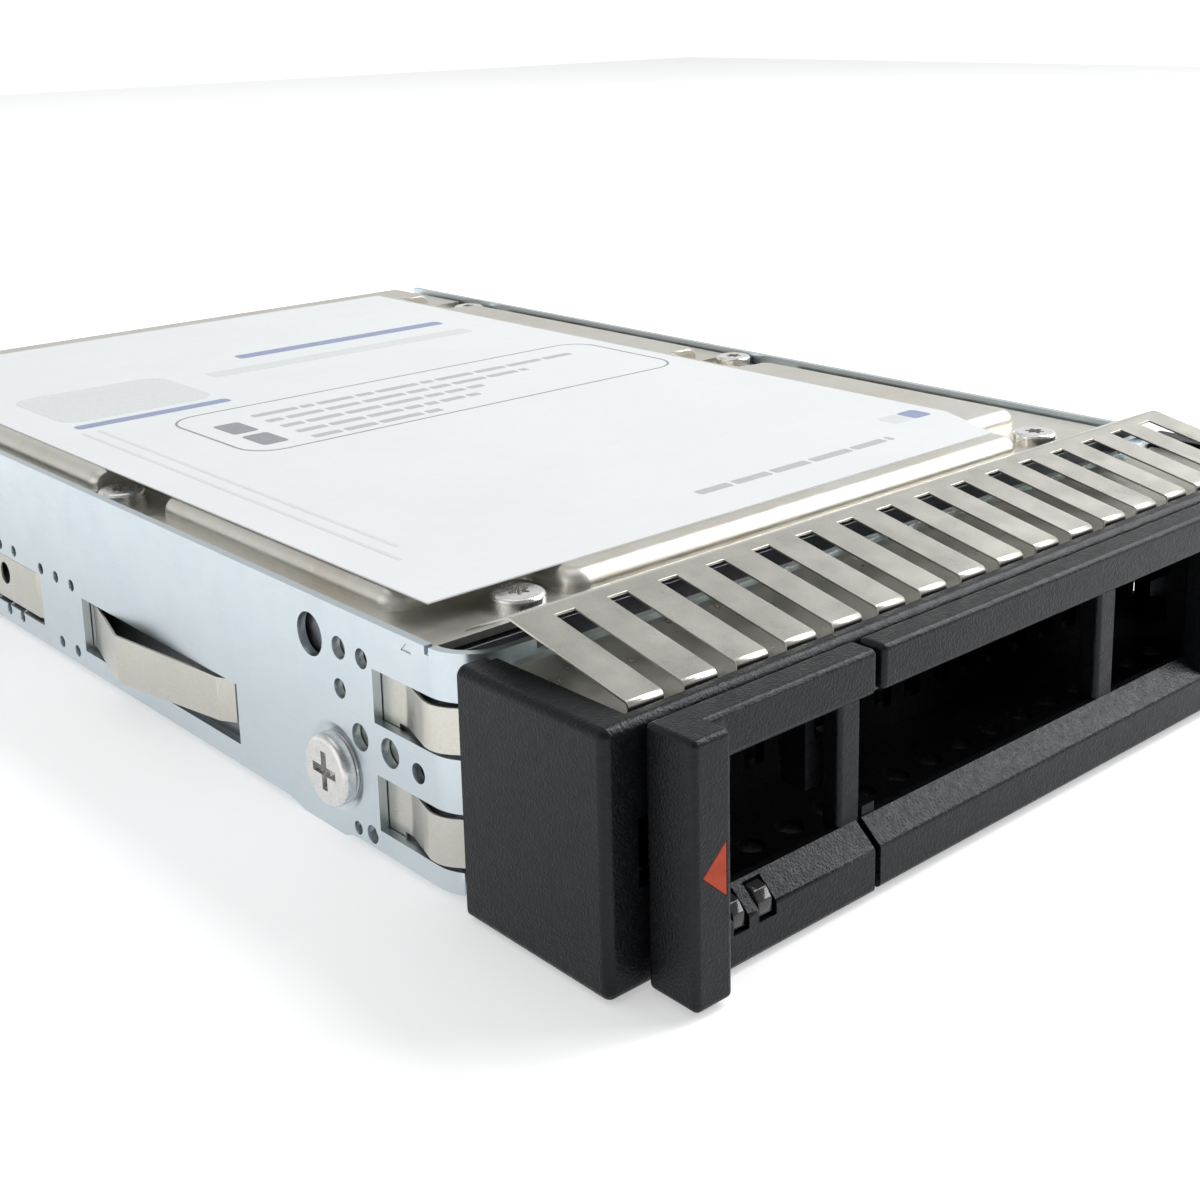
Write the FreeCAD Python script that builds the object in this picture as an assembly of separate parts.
import FreeCAD, Part
import math
import os

# Server hard disk drive: a 2.5-inch disk drive screwed between the two rails
# of a hot-swap tray with a sprung release latch and a swing-out handle.
# Millimetres. While modelling, x = 0 is the middle of the drive, y = 0 its
# front end (the handle is at negative y), z = 0 its underside. place() then
# moves every piece so that the origin is the bottom centre of the whole part.

# ---------------------------------------------------------------- dimensions
# disk drive, standard 2.5-inch form factor
DRIVE_W = 69.85
DRIVE_L = 100.45
SIDE_HOLE_Y = (9.85, 86.45)
SIDE_HOLE_Z = 3.0
BOTTOM_HOLE_X = 30.86
M3_HOLE_R = 1.25
SIDE_HOLE_DEPTH = 2.6
BOTTOM_HOLE_DEPTH = 2.4
BASE_FLOOR = 3.0
BASE_TOP = 12.7
GASKET = 0.3
SHEET_COVER = 0.5
COVER_FLANGE = BASE_TOP + GASKET
COVER_TOP = 14.9
LABEL_T = 0.1
COVER_SCREW_FRONT = (27.0, 2.0)
COVER_SCREW_MID = (33.3, 42.6)
COVER_SCREW_REAR = (33.1, 86.9)
COVER_SCREW_R = 1.75
MID_POCKET = (35.9, 44.7)
MID_POCKET_FLOOR = 13.0
REAR_POCKET = (82.4, 91.2)
REAR_POCKET_FLOOR = 12.8
POCKET_LEFT = -30.5
POCKET_RIGHT = 27.2
PANEL_X = (-34.4, 30.9)

# disks and spindle
SPINDLE_Y = 34.9
DISK_R = 32.5
DISK_BORE_R = 10.05
DISK_T = 0.8
DISK_Z = (5.0, 8.4)
DISK_WELL_R = 33.0
HUB_R = 10.0
HUB_TOP = 9.2
SHAFT_R = 1.5
RUNNING_FIT = 0.06

# head arm
PIVOT = (10.0, 74.0)
PARK_ANGLE = 202.05
ARM_REACH = 33.0
TAB_REACH = 36.6
COIL_R = (9.5, 17.5)
COIL_HALF_ANGLE = 15.0
MAGNET_R = (8.5, 19.0)
MAGNET_ANGLES = (2.0, 76.0)
ARM_Z = ((3.7, 4.6), (6.2, 8.0), (9.6, 10.5))
COIL_Z = (6.0, 8.2)
MAGNET_Z = ((4.6, 5.6), (8.6, 9.6))
MAGNET_PLATE_Z = ((3.0, 4.6), (9.6, 11.2))
BAY_START = 56.0
BAY_Y = 92.9
BAY_X = 31.3

# tray rails, folded from zinc-plated sheet
RAIL_T = 0.6
RAIL_OUT = 35.85
RAIL_IN = RAIL_OUT - RAIL_T
RAIL_TOP = 14.0
RAIL_BOTTOM = -1.05
RAIL_REAR = 101.3
RAIL_BEND_R = 2.9
RAIL_FLANGE_Y = -3.8
RAIL_FLANGE_X = 30.5
SCREW_DIMPLE_R = 3.15
WALL_Y = (-4.7, -4.1)
VENT_R = 1.15
VENT_PITCH = 3.4

# bezel, handle and latch
BEZEL_X = 36.3
BEZEL_BACK = -4.2
BEZEL_FRONT = -16.4
BEZEL_WALL = 1.4
BEZEL_ROUND = 0.6
BEZEL_TOP = 13.95
BEZEL_BOTTOM = -1.45
CAVITY_X = 34.3
CAVITY_TOP = 12.0
STRIP_SEAT = 13.0
GRIP_BACK = -16.8
GRIP_FRONT = -18.8
BAR_FACE = -17.3
GRIP_TOP = 13.95
GRIP_BOTTOM = -1.1
GRIP_ROUND = 0.38
BLEND_R = 1.5
WINDOW_LOW = 2.9
WINDOW_HIGH = 11.2
CHAMFER_Z = 1.6
LATCH_LEFT = -33.9
LATCH_BLOCK_RIGHT = -31.2
LATCH_RIGHT = -17.8
LATCH_BLOCK_FRONT = -20.5
LATCH_SHANK_X = (-31.6, -30.0)
LATCH_ARM_X = (-20.3, -19.5)
LATCH_ARM_Z = (9.9, 11.7)
LATCH_PLATE_Y = (-14.6, -13.7)
SPRING_SEAT_X = (-28.2, -27.2)
HANDLE_LEFT = -17.3
HANDLE_RIGHT = 32.0
HOOK_Y = (-14.6, -13.9)
HOOK_Z = (5.0, 8.0)
HINGE = (33.0, -14.6)
PIN_R = 0.8
KNUCKLE_R = 2.2
KNUCKLE_Z = (1.6, 11.4)
HINGE_ROOM_Z = (1.35, 11.65)
PIN_Z = (-0.7, 12.6)
OPENING_X = (-28.6, 19.5)
OPENING_Z = (1.2, 11.8)

# contact fingers and springs
FINGER_COUNT = 17
FINGER_PITCH = 4.0
FINGER_W = 2.5
FINGER_T = 0.16
FINGER_ROOT_Y = -6.1
LEAF_T = 0.2
LEAF_HIDDEN_X = RAIL_IN - 0.16
LEAF_WINDOW_Y = (22.0, 46.0)
LEAF_WINDOW_Z = (0.5, 4.9)
REAR_WINDOW_Y = (53.7, 67.5)
PIPE_GAP_X = (32.1, 35.3)
CONTACT_WINDOW_END = 5.1
CONTACT_WINDOWS_Z = ((0.4, 4.1), (7.5, 11.0))

# rear plug
PLUG_X = (-25.3, 15.7)
PLUG_Y = (93.7, 100.9)
PLUG_Z = (0.8, 6.6)
PLUG_TONGUE_Z = (3.1, 4.3)
PLUG_PITCH = 1.27
PLUG_CONTACTS = 28
PLUG_KEY = 7

# whole part, used only to place the origin
MIDDLE_Y = (LATCH_BLOCK_FRONT + RAIL_REAR) / 2


# ------------------------------------------------------------------- helpers
def place(shape):
    return shape.translated(FreeCAD.Vector(0, -MIDDLE_Y, -BEZEL_BOTTOM))


def box(x, y, z):
    return Part.makeBox(x[1] - x[0], y[1] - y[0], z[1] - z[0], FreeCAD.Vector(x[0], y[0], z[0]))


def disc(r, x, y, z):
    return Part.makeCylinder(r, z[1] - z[0], FreeCAD.Vector(x, y, z[0]))


def rod_x(r, x, y, z):
    return Part.makeCylinder(r, x[1] - x[0], FreeCAD.Vector(x[0], y, z), FreeCAD.Vector(1, 0, 0))


def ring(r, x, y, z):
    return disc(r[1], x, y, z).cut(disc(r[0], x, y, (z[0] - 1, z[1] + 1)))


def mirrored(shape):
    return shape.mirror(FreeCAD.Vector(0, 0, 0), FreeCAD.Vector(1, 0, 0))


def both_sides(shape):
    return [shape, mirrored(shape)]


def union(shapes):
    return shapes[0].fuse(shapes[1:]).removeSplitter()


def polygon_xy(points, z):
    corners = [FreeCAD.Vector(x, y, z[0]) for x, y in points]
    face = Part.Face(Part.makePolygon(corners + corners[:1]))
    return face.extrude(FreeCAD.Vector(0, 0, z[1] - z[0]))


def polygon_yz(points, x):
    corners = [FreeCAD.Vector(x[0], y, z) for y, z in points]
    face = Part.Face(Part.makePolygon(corners + corners[:1]))
    return face.extrude(FreeCAD.Vector(x[1] - x[0], 0, 0))


def sector(r, angles, centre, z):
    # part of a flat ring between two radii and two angles
    span = angles[1] - angles[0]
    at = FreeCAD.Vector(centre[0], centre[1], z[0])
    up = FreeCAD.Vector(0, 0, 1)
    piece = Part.makeCylinder(r[1], z[1] - z[0], at, up, span)
    piece = piece.cut(Part.makeCylinder(r[0], z[1] - z[0], at, up))
    piece.rotate(at, up, angles[0])
    return piece


def polar(centre, radius, angle):
    a = math.radians(angle)
    return (centre[0] + radius * math.cos(a), centre[1] + radius * math.sin(a))


def unit(p, q):
    length = math.hypot(q[0] - p[0], q[1] - p[1])
    return ((q[0] - p[0]) / length, (q[1] - p[1]) / length)


def offset_side(points, radii, shift, to_space):
    # edges of a path with rounded corners, moved sideways by shift (left is +)
    edges = []
    d = unit(points[0], points[1])
    here = (points[0][0] - d[1] * shift, points[0][1] + d[0] * shift)
    for i in range(1, len(points) - 1):
        a = unit(points[i - 1], points[i])
        b = unit(points[i], points[i + 1])
        turn = math.atan2(a[0] * b[1] - a[1] * b[0], a[0] * b[0] + a[1] * b[1])
        side = 1 if turn > 0 else -1
        r = radii[i - 1]
        back = r * math.tan(abs(turn) / 2)
        t1 = (points[i][0] - a[0] * back, points[i][1] - a[1] * back)
        t2 = (points[i][0] + b[0] * back, points[i][1] + b[1] * back)
        c = (t1[0] - a[1] * r * side, t1[1] + a[0] * r * side)
        m = unit(c, points[i])
        s1 = (t1[0] - a[1] * shift, t1[1] + a[0] * shift)
        s2 = (t2[0] - b[1] * shift, t2[1] + b[0] * shift)
        reach = r - shift * side
        mid = (c[0] + m[0] * reach, c[1] + m[1] * reach)
        edges.append(Part.makeLine(to_space(here), to_space(s1)))
        edges.append(Part.Arc(to_space(s1), to_space(mid), to_space(s2)).toShape())
        here = s2
    d = unit(points[-2], points[-1])
    end = (points[-1][0] - d[1] * shift, points[-1][1] + d[0] * shift)
    edges.append(Part.makeLine(to_space(here), to_space(end)))
    return edges


def bent_sheet(points, radii, thickness, to_space, along):
    # sheet of even thickness whose middle follows the rounded path
    left = offset_side(points, radii, thickness / 2, to_space)
    right = offset_side(points, radii, -thickness / 2, to_space)
    start = Part.makeLine(left[0].firstVertex().Point, right[0].firstVertex().Point)
    end = Part.makeLine(left[-1].lastVertex().Point, right[-1].lastVertex().Point)
    wire = Part.Wire(Part.sortEdges(left + [end] + right + [start])[0])
    return Part.Face(wire).extrude(along)


def sheet_in_plan(points, radii, thickness, z):
    return bent_sheet(points, radii, thickness, lambda p: FreeCAD.Vector(p[0], p[1], z[0]),
                      FreeCAD.Vector(0, 0, z[1] - z[0]))


def sheet_in_profile(points, radii, thickness, x):
    return bent_sheet(points, radii, thickness, lambda p: FreeCAD.Vector(x[0], p[0], p[1]),
                      FreeCAD.Vector(x[1] - x[0], 0, 0))


# ----------------------------------------------------------------- the drive
def screw_places():
    return [(side * x, y) for x, y in (COVER_SCREW_FRONT, COVER_SCREW_MID, COVER_SCREW_REAR)
            for side in (-1, 1)]


def pocket_cut(pocket, floor, grow):
    # the side pockets that let a cover screw sit below the raised panel
    y, z = (pocket[0] - grow, pocket[1] + grow), (floor, 16)
    return [box((-36, POCKET_LEFT + grow), y, z), box((POCKET_RIGHT - grow, 36), y, z)]


def drive_base():
    half = DRIVE_W / 2
    body = box((-half, half), (0, DRIVE_L), (0, BASE_TOP))
    corners = [e for e in body.Edges if abs(e.BoundBox.ZLength - BASE_TOP) < 0.1]
    body = body.makeFillet(1.2, corners)
    cuts = [disc(DISK_WELL_R, 0, SPINDLE_Y, (BASE_FLOOR, BASE_TOP + 1)),
            box((-BAY_X, BAY_X), (BAY_START, BAY_Y), (BASE_FLOOR, BASE_TOP + 1)),
            box((-27.5, 27.5), (46.4, PLUG_Y[0] - 0.5), (-1, 2.3)),
            box((PLUG_X[0] - 0.3, PLUG_X[1] + 0.3), (PLUG_Y[0] - 0.5, DRIVE_L + 1), (-1, PLUG_Z[1] + 0.3)),
            ring((11.0, 11.7), 0, SPINDLE_Y, (-1, 0.5)),
            disc(SHAFT_R + 0.02, 0, SPINDLE_Y, (1.0, BASE_FLOOR + 1)),
            disc(SHAFT_R + 0.02, PIVOT[0], PIVOT[1], (2.4, BASE_FLOOR + 1))]
    cuts += pocket_cut(MID_POCKET, MID_POCKET_FLOOR - SHEET_COVER - 0.1, 0.8)
    cuts += pocket_cut(REAR_POCKET, REAR_POCKET_FLOOR - SHEET_COVER - 0.1, 0.8)
    cuts += [disc(0.85, x, y, (7, BASE_TOP + 1)) for x, y in screw_places()]
    for y in SIDE_HOLE_Y:
        cuts += both_sides(rod_x(M3_HOLE_R, (half - SIDE_HOLE_DEPTH, half + 1), y, SIDE_HOLE_Z))
        cuts += both_sides(disc(M3_HOLE_R, BOTTOM_HOLE_X, y, (-1, BOTTOM_HOLE_DEPTH)))
    return body.cut(cuts)


def raised_panel(inset, z):
    # plan of the raised part of the cover: it gives way to the six screws
    body = box((PANEL_X[0] + inset, PANEL_X[1] - inset), (0.8 + inset, 98.6 - inset), z)
    cuts = [box((-36, inset - 33.7), (0, MID_POCKET[0] - inset), (0, 16))]
    cuts += both_sides(box((23.6 - inset, 36), (0, 6.2 + inset), (0, 16)))
    cuts += pocket_cut(MID_POCKET, 0, inset) + pocket_cut(REAR_POCKET, 0, inset)
    body = body.cut(cuts).removeSplitter()
    upright = [e for e in body.Edges if abs(e.BoundBox.ZLength - (z[1] - z[0])) < 0.01]
    return body.makeFillet(1.5 - inset, upright)


def pocket_dish(pocket, floor):
    # sheet-metal dishes under a pair of side screws, open at the sides of the drive
    side = DRIVE_W / 2 - 0.1
    front, rear = pocket
    y, z = (front - 0.5, rear + 0.5), (floor - SHEET_COVER, COVER_FLANGE + SHEET_COVER)
    shells = [box((-side, POCKET_LEFT + 0.5), y, z), box((POCKET_RIGHT - 0.5, side), y, z)]
    return [shell.cut(pocket_cut(pocket, floor, 0)) for shell in shells]


def top_cover():
    side = DRIVE_W / 2 - 0.1
    sheet = box((-side, side), (0.1, DRIVE_L - 0.1), (COVER_FLANGE, COVER_FLANGE + SHEET_COVER))
    raised = raised_panel(0, (COVER_FLANGE, COVER_TOP))
    rim = [e for e in raised.Edges if e.BoundBox.ZMin > COVER_TOP - 0.01]
    raised = raised.makeFillet(1.1, rim)
    hollow = raised_panel(0.6, (COVER_FLANGE - 1, COVER_TOP - SHEET_COVER))
    cover = sheet.fuse(raised).cut(hollow)
    dishes = []
    for pocket, floor in ((MID_POCKET, MID_POCKET_FLOOR), (REAR_POCKET, REAR_POCKET_FLOOR)):
        cover = cover.cut(pocket_cut(pocket, 0, 0.5))
        dishes += pocket_dish(pocket, floor)
    cover = union([cover] + dishes)
    return cover.cut([disc(0.95, x, y, (5, 16)) for x, y in screw_places()])


def cover_gasket():
    band = box((-34.1, 34.1), (0.4, 99.6), (BASE_TOP, COVER_FLANGE))
    cuts = [disc(DISK_WELL_R + 0.2, 0, SPINDLE_Y, (0, 16)),
            box((-BAY_X - 0.2, BAY_X + 0.2), (BAY_START, BAY_Y + 0.2), (0, 16))]
    cuts += pocket_cut(MID_POCKET, 0, 0.8) + pocket_cut(REAR_POCKET, 0, 0.8)
    cuts += [disc(1.2, x, y, (0, 16)) for x, y in screw_places()]
    return band.cut(cuts)


def star_recess(x, y, top, depth):
    lobes = [disc(0.18, *polar((x, y), 0.60, 60 * i), (top - depth, top + 1)) for i in range(6)]
    return [disc(0.52, x, y, (top - depth, top + 1))] + lobes


def cover_screws():
    floors = (COVER_FLANGE + SHEET_COVER, MID_POCKET_FLOOR, REAR_POCKET_FLOOR)
    seats = [floor for floor in floors for side in (-1, 1)]
    screws = []
    for (x, y), seat in zip(screw_places(), seats):
        head = disc(COVER_SCREW_R, x, y, (seat, seat + 0.95))
        top = [e for e in head.Edges if e.BoundBox.ZMin > seat + 0.9]
        head = head.makeFillet(0.3, top)
        shank = disc(0.8, x, y, (8, seat + 0.1))
        screws.append(head.fuse(shank).cut(star_recess(x, y, seat + 0.95, 0.8)))
    return Part.makeCompound(screws)


def drive_label():
    # self-adhesive sheet with one corner cut back beside the front right screw
    outline = [(-33.1, 2.9), (22.4, 2.9), (25.6, 9.8), (25.6, 95.0), (-33.1, 95.0)]
    return polygon_xy(outline, (COVER_TOP, COVER_TOP + LABEL_T))


def platter(z):
    return ring((DISK_BORE_R, DISK_R), 0, SPINDLE_Y, (z, z + DISK_T))


def disk_spacer():
    return ring((DISK_BORE_R, 12.0), 0, SPINDLE_Y, (DISK_Z[0] + DISK_T, DISK_Z[1]))


def spindle_hub():
    hub = disc(HUB_R, 0, SPINDLE_Y, (3.4, HUB_TOP)).fuse(disc(12.0, 0, SPINDLE_Y, (3.4, DISK_Z[0])))
    cuts = [disc(8.3, 0, SPINDLE_Y, (3, 7.4)), disc(SHAFT_R + RUNNING_FIT, 0, SPINDLE_Y, (3, 8.8))]
    return hub.cut(cuts)


def rotor_magnet():
    return ring((7.3, 8.28), 0, SPINDLE_Y, (3.6, 7.2))


def disk_clamp():
    top = DISK_Z[1] + DISK_T
    clamp = disc(12.2, 0, SPINDLE_Y, (top, top + 0.9)).cut(disc(3.0, 0, SPINDLE_Y, (top - 1, top + 2)))
    groove = ring((9.0, 10.4), 0, SPINDLE_Y, (top + 0.6, top + 2))
    return clamp.cut(groove)


def clamp_screws():
    top = DISK_Z[1] + DISK_T + 0.9
    screws = []
    for i in range(6):
        x, y = polar((0, SPINDLE_Y), 6.2, 60 * i)
        screws.append(disc(1.3, x, y, (top, top + 0.6)).cut(star_recess(x, y, top + 0.6, 0.4)[:1]))
    return Part.makeCompound(screws)


def spindle_stator():
    # nine wound teeth around the shaft
    core = ring((3.4, 4.6), 0, SPINDLE_Y, (3.1, 6.4))
    parts = [core]
    for i in range(9):
        parts.append(sector((4.5, 6.9), (40 * i, 40 * i + 24), (0, SPINDLE_Y), (3.3, 6.2)))
    return union(parts)


def fixed_shaft(x, y, z):
    return disc(SHAFT_R, x, y, z)


def arm_block():
    # pivot sleeve, three arms over and under the disks, and the coil fork
    sleeve = disc(4.2, PIVOT[0], PIVOT[1], (3.4, 11.2))
    parts = [sleeve]
    tip = polar(PIVOT, 25.5, PARK_ANGLE)
    outline = [polar(PIVOT, 3.9, PARK_ANGLE + 90), polar(tip, 1.6, PARK_ANGLE + 90),
               polar(tip, 1.6, PARK_ANGLE - 90), polar(PIVOT, 3.9, PARK_ANGLE - 90)]
    parts += [polygon_xy(outline, z) for z in ARM_Z]
    fork = sector((3.8, COIL_R[0]), (PARK_ANGLE + 162, PARK_ANGLE + 198), PIVOT, COIL_Z)
    parts.append(fork)
    return union(parts).cut(disc(SHAFT_R + RUNNING_FIT, PIVOT[0], PIVOT[1], (3, 12)))


def voice_coil():
    opposite = PARK_ANGLE + 180
    outer = sector(COIL_R, (opposite - COIL_HALF_ANGLE, opposite + COIL_HALF_ANGLE), PIVOT, COIL_Z)
    inner = sector((COIL_R[0] + 2, COIL_R[1] - 2), (opposite - 7, opposite + 7), PIVOT, (0, 16))
    return outer.cut(inner)


def head_heights():
    # the underside and topside head of each disk, and which way each one faces
    return [(z - 0.3, -1) for z in DISK_Z] + [(z + DISK_T + 0.3, 1) for z in DISK_Z]


def suspensions():
    leaves = []
    for z, side in head_heights():
        low = z - 0.1 if side < 0 else z
        base = polar(PIVOT, 23.0, PARK_ANGLE)
        tip = polar(PIVOT, TAB_REACH, PARK_ANGLE)
        outline = [polar(base, 1.4, PARK_ANGLE + 90), polar(tip, 0.35, PARK_ANGLE + 90),
                   polar(tip, 0.35, PARK_ANGLE - 90), polar(base, 1.4, PARK_ANGLE - 90)]
        leaves.append(polygon_xy(outline, (low, low + 0.1)))
    return Part.makeCompound(leaves)


def slider_heads():
    heads = []
    for z, side in head_heights():
        low = z if side < 0 else z - 0.18
        block = box((-0.5, 0.5), (-0.4, 0.4), (low, low + 0.18))
        block.rotate(FreeCAD.Vector(0, 0, 0), FreeCAD.Vector(0, 0, 1), PARK_ANGLE)
        x, y = polar(PIVOT, ARM_REACH, PARK_ANGLE)
        heads.append(block.translated(FreeCAD.Vector(x, y, 0)))
    return Part.makeCompound(heads)


def load_ramp():
    # comb beside the disk edge: the tips of the head arms rest on its ledges
    post = sector((38.6, 40.6), (PARK_ANGLE - 7, PARK_ANGLE + 1), PIVOT, (BASE_FLOOR, 10.8))
    ledges = [sector((35.5, 38.7), (PARK_ANGLE - 6, PARK_ANGLE + 1), PIVOT, (z + 0.05, z + 0.75))
              for z in DISK_Z]
    return union([post] + ledges)


def lower_magnet_plate():
    # two posts at the rim carry the upper plate
    parts = [sector(MAGNET_R, MAGNET_ANGLES, PIVOT, MAGNET_PLATE_Z[0])]
    low, high = MAGNET_ANGLES
    post_z = (MAGNET_PLATE_Z[0][0], MAGNET_PLATE_Z[1][0])
    for angles in ((low, low + 6), (high - 6, high)):
        parts.append(sector((18.1, MAGNET_R[1]), angles, PIVOT, post_z))
    return union(parts)


def upper_magnet_plate():
    return sector(MAGNET_R, MAGNET_ANGLES, PIVOT, MAGNET_PLATE_Z[1])


def magnets():
    middle = sum(MAGNET_ANGLES) / 2
    pieces = []
    for z in MAGNET_Z:
        pieces.append(sector((10.0, 18.0), (MAGNET_ANGLES[0] + 4, middle - 0.5), PIVOT, z))
        pieces.append(sector((10.0, 18.0), (middle + 0.5, MAGNET_ANGLES[1] - 4), PIVOT, z))
    return Part.makeCompound(pieces)


def crash_stops():
    stops = []
    for angle in (MAGNET_ANGLES[0] - 5.5, MAGNET_ANGLES[1] + 6):
        x, y = polar(PIVOT, 12.5, angle)
        stops.append(disc(0.9, x, y, (BASE_FLOOR, 9.6)))
    return Part.makeCompound(stops)


def flex_cable():
    # thin ribbon from the pivot's flank to its bracket, upright in a loose bend
    start = polar(PIVOT, 5.4, PARK_ANGLE - 75)
    path = [start, (start[0] - 5.0, start[1] + 5.2), (start[0] - 10.5, start[1] + 3.4)]
    ribbon = sheet_in_plan(path, [2.2], 0.15, (5.0, 9.0))
    bracket = box((path[2][0] - 3.4, path[2][0]), (path[2][1] - 1.2, path[2][1] + 1.6), (BASE_FLOOR, 9.4))
    return union([ribbon, bracket])


def air_filter():
    pad = box((-1.0, 1.0), (-5.0, 5.0), (BASE_FLOOR, 11.5))
    pad.rotate(FreeCAD.Vector(0, 0, 0), FreeCAD.Vector(0, 0, 1), 35)
    return pad.translated(FreeCAD.Vector(-25.6, 72.5, 0))


def circuit_board():
    board = box((-27.2, 27.2), (46.8, PLUG_Y[0] - 0.7), (0.3, 1.3))
    cuts = both_sides(disc(3.0, 27.2, 80.0, (-1, 3)))
    return board.cut(cuts)


def board_chips():
    sizes = ((-12, 62, 11), (8, 60, 9), (-9, 80, 8), (12, 78, 7), (19, 66, 5))
    return Part.makeCompound([box((x, x + s), (y, y + s), (1.3, 2.1)) for x, y, s in sizes])


def board_screws():
    screws = []
    for x, y in ((-24.5, 49.5), (24.5, 49.5), (-24.5, 90.0), (24.5, 90.0)):
        screws.append(disc(1.5, x, y, (0.02, 0.3)).cut(disc(0.6, x, y, (-1, 0.2))))
    return Part.makeCompound(screws)


def drive_plug():
    left, right = PLUG_X
    front, rear = PLUG_Y
    body = box(PLUG_X, PLUG_Y, PLUG_Z)
    mouth = box((left + 1.3, right - 1.3), (front + 1.6, rear + 1), (PLUG_Z[0] + 0.8, PLUG_Z[1] - 0.8))
    tongue = box((left + 2.2, right - 2.2), (front + 1.0, rear - 0.6), PLUG_TONGUE_Z)
    return union([body.cut(mouth), tongue])


def plug_contacts():
    first = PLUG_X[0] + 3.4
    z = PLUG_TONGUE_Z[1]
    pins = []
    for i in range(PLUG_CONTACTS):
        if i != PLUG_KEY:
            x = first + PLUG_PITCH * i
            pins.append(box((x, x + 0.7), (PLUG_Y[0] + 2.0, PLUG_Y[1] - 1.0), (z, z + 0.12)))
    return Part.makeCompound(pins)


# ------------------------------------------------------------------ the tray
def rail_holes():
    # pierced holes (y, z, radius) ahead of the leaf window, front to back
    around_screw = ((0.7, 5.7, 0.65), (3.6, 6.0, 0.95), (6.8, 6.0, 0.9), (8.8, 8.6, 0.65),
                    (6.2, 11.3, 0.65), (8.7, 11.3, 0.75), (12.0, 11.3, 1.45),
                    (6.0, -0.2, 0.6), (7.6, -0.35, 0.45))
    rear_rows = [(47.7 + 2.85 * i, 5.5, 0.48) for i in range(3)]
    rear_rows += [(58.7 + 2.85 * i, 5.75, 0.48) for i in range(3)]
    rear_rows += [(47.6 + 2.85 * i, 0.05, 0.48) for i in range(2)]
    rear_rows += [(58.2 + 2.65 * i, 0.1, 0.48) for i in range(4)]
    return list(around_screw) + rear_rows


def rail_path():
    middle = RAIL_OUT - RAIL_T / 2
    return [(middle, RAIL_REAR), (middle, RAIL_FLANGE_Y), (RAIL_FLANGE_X, RAIL_FLANGE_Y)]


def tray_rail():
    # right-hand rail; its front end curls inwards behind the bezel
    rail = sheet_in_plan(rail_path(), [RAIL_BEND_R], RAIL_T, (RAIL_BOTTOM, RAIL_TOP))
    tab = polygon_yz([(15.8, RAIL_BOTTOM), (14.0, BEZEL_BOTTOM), (9.2, BEZEL_BOTTOM), (8.1, RAIL_BOTTOM)],
                     (RAIL_IN, RAIL_OUT))
    boss = [rod_x(SCREW_DIMPLE_R - 0.4, (RAIL_IN - 0.3, RAIL_IN), y, SIDE_HOLE_Z) for y in SIDE_HOLE_Y]
    rail = rail.fuse([tab] + boss)
    cuts = []
    for y in SIDE_HOLE_Y:
        dish = Part.makeCone(SCREW_DIMPLE_R - 0.7, SCREW_DIMPLE_R, 0.3,
                             FreeCAD.Vector(RAIL_OUT - 0.3, y, SIDE_HOLE_Z), FreeCAD.Vector(1, 0, 0))
        cuts += [dish, rod_x(1.7, (30, 38), y, SIDE_HOLE_Z)]
    cuts += [rod_x(r, (35, 38), y, z) for y, z, r in rail_holes()]
    cuts.append(box((34, 38), LEAF_WINDOW_Y, LEAF_WINDOW_Z))
    cuts.append(box((34, 38), REAR_WINDOW_Y, LEAF_WINDOW_Z))
    cuts += [box((33.4, 38), (-6, CONTACT_WINDOW_END), z) for z in CONTACT_WINDOWS_Z]
    cuts.append(box(PIPE_GAP_X, (-5, -2.6), (RAIL_BOTTOM - 1, 1.9)))
    cuts.append(box((35, 38), (-0.9, -0.5), (RAIL_TOP - 0.5, RAIL_TOP + 1)))
    # small press mark under the top edge
    cuts.append(polygon_yz([(0.8, 13.1), (1.9, 13.1), (1.35, 13.65)], (RAIL_OUT - 0.08, RAIL_OUT + 1)))
    return rail.cut(cuts)


def tray_front_wall():
    # pierced cross wall between the rails, with a short floor under the drive
    wall = box((-34.2, 34.2), WALL_Y, (-0.9, 13.4))
    floor = box((-30.3, 30.3), (WALL_Y[0], 5.0), (-0.9, -0.3))
    cuts = []
    for row in range(3):
        first = -29.0 + VENT_PITCH / 2 * (row % 2)
        for i in range(17):
            start = FreeCAD.Vector(first + VENT_PITCH * i, -6, 3.2 + 3.0 * row)
            cuts.append(Part.makeCylinder(VENT_R, 3, start, FreeCAD.Vector(0, 1, 0)))
    cuts += both_sides(box(PIPE_GAP_X, (-5, -3), (-2, 1.9)))
    return union([wall, floor]).cut(cuts)


def rail_screws():
    # pan-head screws with a captive washer; the head has a cross recess
    screws = []
    seat = RAIL_OUT - 0.3
    for y in SIDE_HOLE_Y:
        washer = rod_x(2.3, (seat, seat + 0.2), y, SIDE_HOLE_Z)
        neck = rod_x(2.0, (seat + 0.1, seat + 0.35), y, SIDE_HOLE_Z)
        head = rod_x(2.4, (seat + 0.3, seat + 1.2), y, SIDE_HOLE_Z)
        rim = [e for e in head.Edges if e.BoundBox.XMin > seat + 1.15]
        head = head.makeFillet(0.4, rim)
        shank = rod_x(M3_HOLE_R - 0.05, (DRIVE_W / 2 - 2.3, seat + 0.1), y, SIDE_HOLE_Z)
        slot = box((seat + 0.5, seat + 3), (y - 0.3, y + 0.3), (SIDE_HOLE_Z - 1.3, SIDE_HOLE_Z + 1.3))
        cross = box((seat + 0.5, seat + 3), (y - 1.3, y + 1.3), (SIDE_HOLE_Z - 0.3, SIDE_HOLE_Z + 0.3))
        screws += both_sides(union([washer, neck, head, shank]).cut([slot, cross]))
    return Part.makeCompound(screws)


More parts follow.
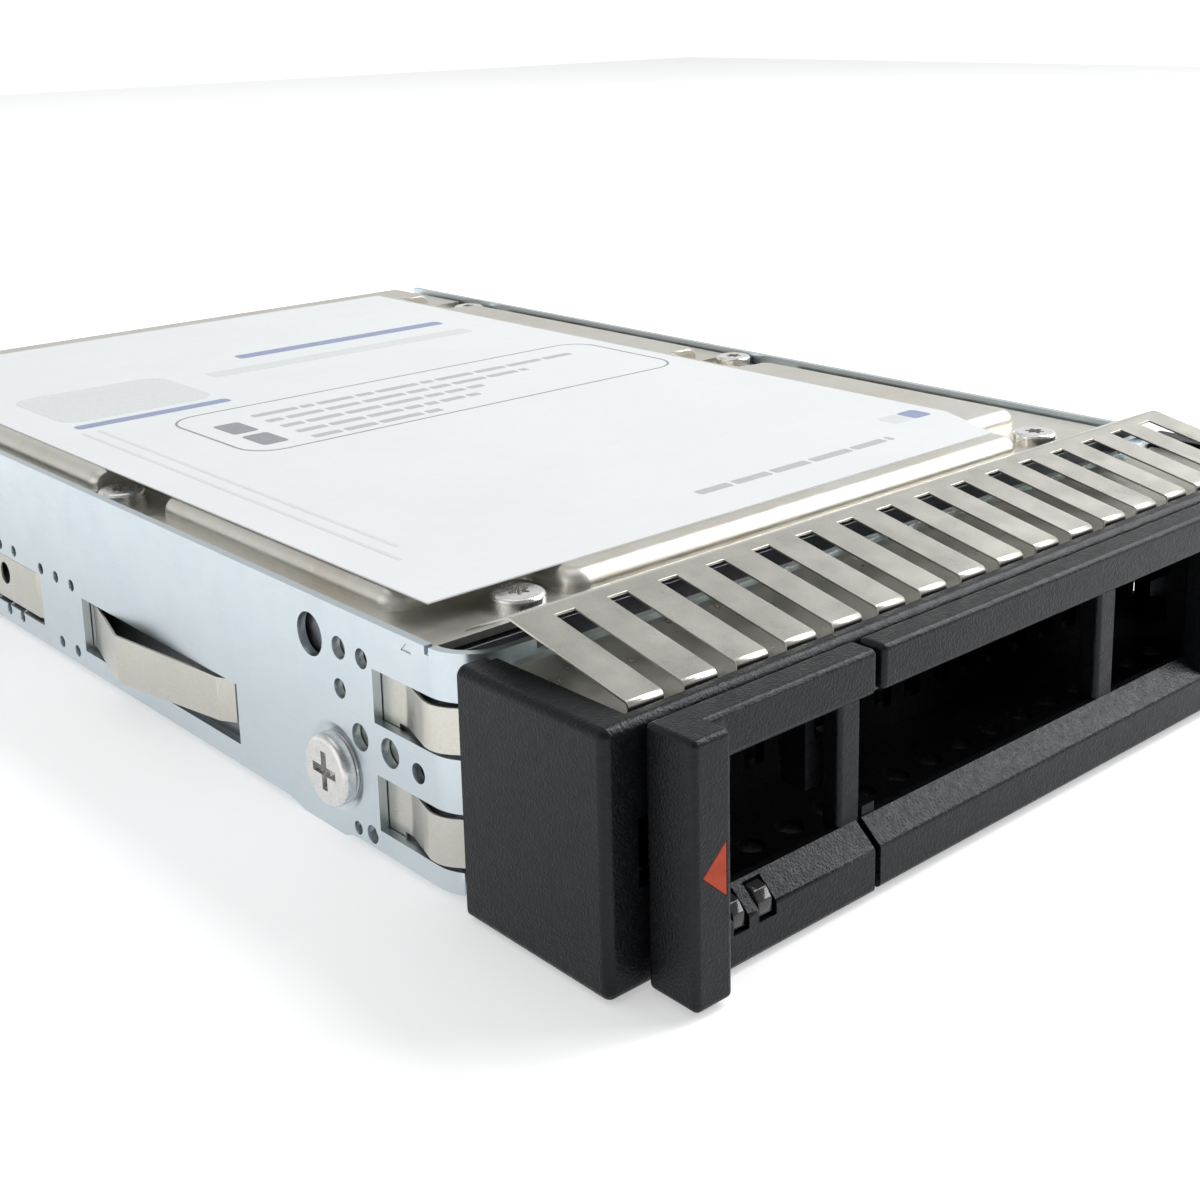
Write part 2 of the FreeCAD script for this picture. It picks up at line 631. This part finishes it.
def leaf_spring():
    # held flat behind the rail, bowed out through the window
    path = [(LEAF_HIDDEN_X, 71.0), (LEAF_HIDDEN_X, 67.4), (35.5, 66.2), (35.5, 55.2), (LEAF_HIDDEN_X, 54.0),
            (LEAF_HIDDEN_X, 45.4), (37.3, 37.2), (35.8, 24.7), (35.16, 23.4)]
    leaf = sheet_in_plan(path, [0.5, 0.5, 0.5, 0.5, 1.0, 1.2, 0.4], LEAF_T, (0.75, 4.65))
    # the free end narrows from below
    taper = polygon_yz([(38.0, 0.5), (38.0, 0.9), (22.0, 1.5), (22.0, 0.5)], (34, 38))
    return leaf.cut([taper, rod_x(0.95, (34, 38), 61.7, 3.05)])


def side_contact():
    # two bowed fingers on one strip, showing in the two front windows
    parts = [box((LEAF_HIDDEN_X - LEAF_T / 2, LEAF_HIDDEN_X + LEAF_T / 2), (3.4, 9.5), (-0.3, 11.8))]
    for low, high in CONTACT_WINDOWS_Z:
        path = [(LEAF_HIDDEN_X, 4.0), (LEAF_HIDDEN_X, 2.5), (36.25, -1.3), (34.7, -3.3)]
        parts.append(sheet_in_plan(path, [1.2, 2.2], LEAF_T, (low + 0.3, high - 0.3)))
    screw = rod_x(SCREW_DIMPLE_R, (30, 38), SIDE_HOLE_Y[0], SIDE_HOLE_Z)
    return union(parts).cut(screw)


def finger_strip():
    # one folded sheet: short back leg, rounded crest, fingers sloping down to
    # the front fold, plain leg returning underneath to the tray's front wall
    half = ((FINGER_COUNT - 1) * FINGER_PITCH + FINGER_W) / 2
    path = [(-0.9, 14.35), (-5.0, 16.2), (-14.98, 14.12), (-14.9, 13.2), (-4.8, 13.12), (-4.8, 11.3)]
    strip = sheet_in_profile(path, [0.9, 0.35, 0.35, 0.3], FINGER_T, (-half, half))
    slots = []
    for i in range(FINGER_COUNT - 1):
        left = -half + i * FINGER_PITCH + FINGER_W
        right = left + FINGER_PITCH - FINGER_W
        slots.append(box((left, right), (-16, FINGER_ROOT_Y), (13.6, 18)))
    return strip.cut(slots)


# ----------------------------------------------------------------- the bezel
def bezel_frame():
    body = box((-BEZEL_X, BEZEL_X), (BEZEL_FRONT, BEZEL_BACK), (BEZEL_BOTTOM, BEZEL_TOP))
    outer = [e for e in body.Edges if e.BoundBox.YMin < BEZEL_FRONT + 1]
    body = body.makeFillet(BEZEL_ROUND, outer)
    wall_back = BEZEL_FRONT + BEZEL_WALL
    cuts = [box((-CAVITY_X, CAVITY_X), (wall_back, 0), (0, CAVITY_TOP)),
            box((-CAVITY_X, CAVITY_X), (-4.75, 0), (BEZEL_BOTTOM - 1, 20)),
            box((-33.9, 33.9), (-15.4, 0), (STRIP_SEAT, 20)),
            box((-33.9, 33.9), (-5.8, 0), (CAVITY_TOP - 1, 20)),
            box(OPENING_X, (BEZEL_FRONT - 1, wall_back + 0.5), OPENING_Z),
            box((-34.0, -29.7), (BEZEL_FRONT - 1, wall_back + 0.5), (4.5, 8.5)),
            box((-29.9, -26.0), (BEZEL_FRONT - 1, wall_back + 0.5), (0.7, 2.3))]
    cuts += [disc(0.9, -23.8 + 3.4 * i, -11.4, (BEZEL_BOTTOM - 1, 1)) for i in range(15)]
    body = body.cut(cuts)
    grille = box((-CAVITY_X, CAVITY_X), (-6.2, -5.4), (0, CAVITY_TOP))
    slots = [box((-31.6 + 3.2 * i, -29.8 + 3.2 * i), (-7, -5), (1.5, 10.5)) for i in range(20)]
    slots += both_sides(box(PIPE_GAP_X, (-7, -5), (-0.5, 2.2)))
    grille = grille.cut(slots)
    hinge_bosses = [disc(1.9, HINGE[0], HINGE[1], (BEZEL_BOTTOM, KNUCKLE_Z[0] - 0.25)),
                    disc(1.9, HINGE[0], HINGE[1], (KNUCKLE_Z[1] + 0.25, STRIP_SEAT))]
    spring_seat = box(SPRING_SEAT_X, (-13.4, -11.4), (9.6, CAVITY_TOP))
    hinge_room = [box((HINGE[0] - 4.6, HINGE[0] + 2.5), (BEZEL_FRONT - 1, HINGE[1]), HINGE_ROOM_Z),
                  disc(2.5, HINGE[0], HINGE[1], HINGE_ROOM_Z),
                  disc(4.75, HINGE[0], HINGE[1], (4.2, 8.8)),
                  disc(PIN_R + 0.02, HINGE[0], HINGE[1], PIN_Z)]
    return union([body, grille, spring_seat] + hinge_bosses).cut(hinge_room)


def grip_bar(x, bottom):
    # lower bar of the grip with its sloping upper face
    outline = [(GRIP_BACK, bottom), (GRIP_FRONT, bottom), (GRIP_FRONT, CHAMFER_Z),
               (BAR_FACE, WINDOW_LOW), (GRIP_BACK, WINDOW_LOW)]
    bar = polygon_yz(outline, x)
    lengthwise = [e for e in bar.Edges if e.BoundBox.XLength > 1 and e.BoundBox.ZMax < WINDOW_LOW - 0.1]
    return bar.makeFillet(GRIP_ROUND, lengthwise)


def rounded_bar(x, y, z):
    bar = box(x, y, z)
    return bar.makeFillet(GRIP_ROUND, bar.Edges)


def hinge_pin():
    return disc(PIN_R, HINGE[0], HINGE[1], (PIN_Z[0] + 0.1, PIN_Z[1] - 0.1))


def handle():
    span = (HANDLE_LEFT, 19.4)
    window = (WINDOW_LOW - 0.5, WINDOW_HIGH + 0.5)
    parts = [rounded_bar(span, (GRIP_FRONT, GRIP_BACK), (WINDOW_HIGH, GRIP_TOP)),
             grip_bar(span, GRIP_BOTTOM),
             rounded_bar((6.9, 9.0), (BAR_FACE, -15.7), window),
             rounded_bar((18.4, HANDLE_RIGHT), (GRIP_FRONT, GRIP_BACK), (GRIP_BOTTOM, GRIP_TOP))]
    # bracket behind the free end of the bars, with the catch hook
    bracket_x = (HANDLE_LEFT + 0.15, HANDLE_LEFT + 1.25)
    parts += [box(bracket_x, (GRIP_BACK - 0.6, HOOK_Y[0]), (WINDOW_HIGH - 0.6, WINDOW_HIGH + 0.5)),
              box(bracket_x, (GRIP_BACK - 0.4, HOOK_Y[0]), (WINDOW_LOW - 0.5, WINDOW_LOW + 0.6)),
              box(bracket_x, (HOOK_Y[0] - 1.0, HOOK_Y[0]), window),
              box(bracket_x, (HOOK_Y[0] - 0.5, HOOK_Y[1]), HOOK_Z),
              box((HANDLE_LEFT - 0.9, HANDLE_LEFT + 0.2), HOOK_Y, HOOK_Z)]
    # knuckle round the pin and the cam nose that levers on the rack
    parts += [box((HINGE[0] - 4.0, HANDLE_RIGHT - 0.5), (GRIP_BACK - 0.6, HINGE[1]), KNUCKLE_Z),
              disc(KNUCKLE_R, HINGE[0], HINGE[1], KNUCKLE_Z)]
    x, y = HINGE
    nose = [(x, y - 1.4), (x + 4.2, y - 0.7), (x + 4.3, y + 0.5), (x, y + 1.8)]
    parts.append(polygon_xy(nose, (4.6, 8.4)))
    return union(parts).cut(disc(PIN_R + RUNNING_FIT, x, y, (0, 13)))


def lens_places():
    return ((-29.45, -28.25), (-27.5, -26.1))


def release_latch():
    low = GRIP_BOTTOM - 0.1
    post = (LATCH_RIGHT - 1.5, LATCH_RIGHT + 0.45)
    block = rounded_bar((LATCH_LEFT, LATCH_BLOCK_RIGHT), (LATCH_BLOCK_FRONT, GRIP_BACK), (low, GRIP_TOP))
    span = (LATCH_BLOCK_RIGHT - 1.0, LATCH_RIGHT)
    fillet_x = LATCH_BLOCK_RIGHT + BLEND_R
    blend = box((LATCH_BLOCK_RIGHT - 0.6, fillet_x), (LATCH_BLOCK_FRONT + 0.2, GRIP_FRONT + 0.5),
                (WINDOW_HIGH + 0.3, GRIP_TOP - 0.3))
    blend = blend.cut(disc(BLEND_R, fillet_x, GRIP_FRONT - BLEND_R, (0, 20)))
    parts = [block, blend,
             rounded_bar(span, (GRIP_FRONT, GRIP_BACK), (WINDOW_HIGH, GRIP_TOP)),
             grip_bar(span, low),
             rounded_bar(post, (BAR_FACE, -15.9), (WINDOW_LOW - 0.5, WINDOW_HIGH + 0.5))]
    # tongue through the bezel, retaining plate, spring arm and keeper
    front, back = LATCH_PLATE_Y
    parts += [box(LATCH_SHANK_X, (GRIP_BACK - 0.6, back), (4.8, 8.2)),
              box(LATCH_SHANK_X, LATCH_PLATE_Y, (3.8, LATCH_ARM_Z[1])),
              box((LATCH_SHANK_X[0], LATCH_ARM_X[1]), LATCH_PLATE_Y, LATCH_ARM_Z),
              box(LATCH_ARM_X, (front, -11.5), LATCH_ARM_Z),
              box(LATCH_ARM_X, (front - 1.0, back), (5.0, LATCH_ARM_Z[1])),
              box((LATCH_ARM_X[1] - 0.1, -18.5), (front - 1.0, front - 0.3), (5.0, 8.0))]
    latch = union(parts)
    cuts = [box(x, (GRIP_FRONT - 1, -17.4), (0.85, 2.75)) for x in lens_places()]
    cuts += [box((x[0] + 0.1, x[1] - 0.1), (-17.5, -16), (0.95, 2.2)) for x in lens_places()]
    cuts.append(marker_prism(0.2, 0))
    return latch.cut(cuts)


def marker_prism(depth, inset):
    # arrow head pointing the way that the latch slides
    base = -31.65 - inset
    points = [(-33.4 + 1.8 * inset, 6.4), (base, 8.0 - 2 * inset), (base, 4.8 + 2 * inset)]
    corners = [FreeCAD.Vector(x, LATCH_BLOCK_FRONT, z) for x, z in points]
    face = Part.Face(Part.makePolygon(corners + corners[:1]))
    return face.extrude(FreeCAD.Vector(0, depth, 0))


def latch_marker():
    return marker_prism(0.18, 0.02)


def status_lenses():
    outline = [(-16.9, 1.0), (-18.62, 1.0), (-18.62, 1.85), (-18.2, 2.4), (-17.5, 2.6),
               (-17.5, 2.15), (-16.9, 2.15)]
    return Part.makeCompound([polygon_yz(outline, (low + 0.15, high - 0.15)) for low, high in lens_places()])


def latch_spring():
    # coil between the bezel's seat and the latch's arm
    start, end = SPRING_SEAT_X[1] + 0.05, LATCH_ARM_X[0] - 0.05
    turns = 8
    coil_r, wire_r = 0.8, 0.14
    length = end - start - 2 * wire_r
    helix = Part.makeHelix(length / turns, length, coil_r)
    section = Part.Wire(Part.makeCircle(wire_r, FreeCAD.Vector(coil_r, 0, 0), FreeCAD.Vector(0, 1, 0)))
    spring = Part.Wire(helix).makePipeShell([section], True, True)
    spring.rotate(FreeCAD.Vector(0, 0, 0), FreeCAD.Vector(0, 1, 0), 90)
    return spring.translated(FreeCAD.Vector(start + wire_r, -12.4, 10.8))


def light_pipes():
    # clear bars from behind the lenses to the drive's rear end, under its edge
    pipes = []
    for front_x, rear_x in ((-28.85, -33.85), (-26.8, -32.75)):
        plan = sheet_in_plan([(front_x, -16.3), (front_x, -13.2), (rear_x, -8.2), (rear_x, RAIL_REAR)],
                             [1.5, 1.5], 0.8, (-3, 4))
        profile = sheet_in_profile([(-16.3, 1.4), (-6.0, 1.4), (-1.2, -0.55), (RAIL_REAR, -0.55)],
                                   [2.0, 2.0], 0.7, (-36, -24))
        pipes.append(plan.common(profile))
    return Part.makeCompound(pipes)


# -------------------------------------------------------------------- export
def nodes():
    pivot_x, pivot_y = PIVOT
    return {
        "drive_base": drive_base(),
        "top_cover": top_cover(),
        "cover_gasket": cover_gasket(),
        "cover_screws": cover_screws(),
        "drive_label": drive_label(),
        "platter_lower": platter(DISK_Z[0]),
        "platter_upper": platter(DISK_Z[1]),
        "disk_spacer": disk_spacer(),
        "spindle_hub": spindle_hub(),
        "rotor_magnet": rotor_magnet(),
        "disk_clamp": disk_clamp(),
        "clamp_screws": clamp_screws(),
        "spindle_stator": spindle_stator(),
        "spindle_shaft": fixed_shaft(0, SPINDLE_Y, (1.02, 8.6)),
        "pivot_shaft": fixed_shaft(pivot_x, pivot_y, (2.42, 11.8)),
        "arm_block": arm_block(),
        "voice_coil": voice_coil(),
        "suspensions": suspensions(),
        "slider_heads": slider_heads(),
        "load_ramp": load_ramp(),
        "magnet_plate_lower": lower_magnet_plate(),
        "magnet_plate_upper": upper_magnet_plate(),
        "magnets": magnets(),
        "crash_stops": crash_stops(),
        "flex_cable": flex_cable(),
        "air_filter": air_filter(),
        "circuit_board": circuit_board(),
        "board_chips": board_chips(),
        "board_screws": board_screws(),
        "drive_plug": drive_plug(),
        "plug_contacts": plug_contacts(),
        "tray_rail_left": mirrored(tray_rail()),
        "tray_rail_right": tray_rail(),
        "tray_front_wall": tray_front_wall(),
        "rail_screws": rail_screws(),
        "leaf_spring_left": mirrored(leaf_spring()),
        "leaf_spring_right": leaf_spring(),
        "side_contact_left": mirrored(side_contact()),
        "side_contact_right": side_contact(),
        "finger_strip": finger_strip(),
        "bezel_frame": bezel_frame(),
        "hinge_pin": hinge_pin(),
        "handle": handle(),
        "release_latch": release_latch(),
        "latch_marker": latch_marker(),
        "latch_spring": latch_spring(),
        "status_lenses": status_lenses(),
        "light_pipes": light_pipes(),
    }


os.makedirs("parts", exist_ok=True)
for name, shape in nodes().items():
    place(shape).exportStep("parts/" + name + ".step")
